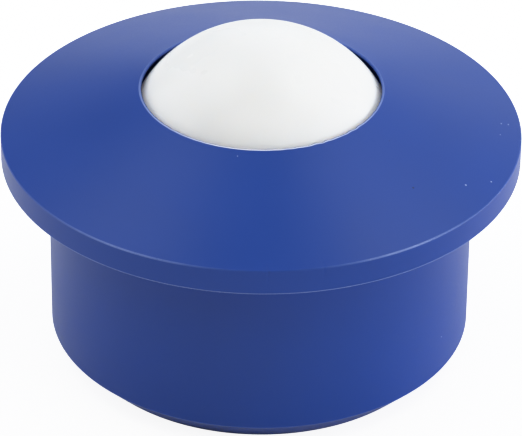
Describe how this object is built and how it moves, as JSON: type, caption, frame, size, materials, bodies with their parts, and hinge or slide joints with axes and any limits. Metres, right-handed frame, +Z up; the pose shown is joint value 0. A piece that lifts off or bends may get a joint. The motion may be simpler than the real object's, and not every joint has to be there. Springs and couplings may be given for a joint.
{
  "type": "ball transfer unit",
  "caption": "Flanged ball transfer unit: a captive white load ball rolls in every direction on a bed of small steel balls, in a blue plastic housing with a conical top and plain round body.",
  "frame": {"origin": "centre of the flat foot, where the unit's vertical axis meets the surface it stands on", "axes": "+Z up along the unit's axis, from the foot to the load ball; +X and +Y lie in the plane of the foot, and the unit is round about +Z"},
  "size_m": [0.055, 0.055, 0.0368],
  "materials": {
    "housing_plastic": "satin moulded",
    "ball_plastic": "smooth",
    "cup_plastic": "satin moulded",
    "ring_plastic": "satin moulded",
    "support_steel": "polished stainless"
  },
  "bodies": {
    "housing": {"housing": "housing_plastic", "ball_cup": "cup_plastic", "retaining_ring": "ring_plastic"},
    "support_balls": {"support_ball_0_1": "support_steel", "support_ball_1_1": "support_steel", "support_ball_1_2": "support_steel", "support_ball_1_3": "support_steel", "support_ball_1_4": "support_steel", "support_ball_1_5": "support_steel", "support_ball_1_6": "support_steel", "support_ball_2_1": "support_steel", "support_ball_2_2": "support_steel", "support_ball_2_3": "support_steel", "support_ball_2_4": "support_steel", "support_ball_2_5": "support_steel", "support_ball_2_6": "support_steel", "support_ball_2_7": "support_steel", "support_ball_2_8": "support_steel", "support_ball_2_9": "support_steel", "support_ball_2_10": "support_steel", "support_ball_2_11": "support_steel", "support_ball_2_12": "support_steel", "support_ball_3_1": "support_steel", "support_ball_3_2": "support_steel", "support_ball_3_3": "support_steel", "support_ball_3_4": "support_steel", "support_ball_3_5": "support_steel", "support_ball_3_6": "support_steel", "support_ball_3_7": "support_steel", "support_ball_3_8": "support_steel", "support_ball_3_9": "support_steel", "support_ball_3_10": "support_steel", "support_ball_3_11": "support_steel", "support_ball_3_12": "support_steel", "support_ball_3_13": "support_steel", "support_ball_3_14": "support_steel", "support_ball_3_15": "support_steel", "support_ball_3_16": "support_steel", "support_ball_3_17": "support_steel", "support_ball_4_1": "support_steel", "support_ball_4_2": "support_steel", "support_ball_4_3": "support_steel", "support_ball_4_4": "support_steel", "support_ball_4_5": "support_steel", "support_ball_4_6": "support_steel", "support_ball_4_7": "support_steel", "support_ball_4_8": "support_steel", "support_ball_4_9": "support_steel", "support_ball_4_10": "support_steel", "support_ball_4_11": "support_steel", "support_ball_4_12": "support_steel", "support_ball_4_13": "support_steel", "support_ball_4_14": "support_steel", "support_ball_4_15": "support_steel", "support_ball_4_16": "support_steel", "support_ball_4_17": "support_steel", "support_ball_4_18": "support_steel", "support_ball_4_19": "support_steel", "support_ball_4_20": "support_steel"},
    "load_ball": {"load_ball": "ball_plastic"}
  },
  "joints": [
    {"name": "ball_heading", "type": "hinge", "parent": "housing", "child": "support_balls", "pos_m": [0, 0, 0.0218], "axis": [0, 0, 1], "continuous": true},
    {"name": "ball_roll", "type": "hinge", "parent": "support_balls", "child": "load_ball", "pos_m": [0, 0, 0.0218], "axis": [0, 1, 0], "continuous": true}
  ]
}
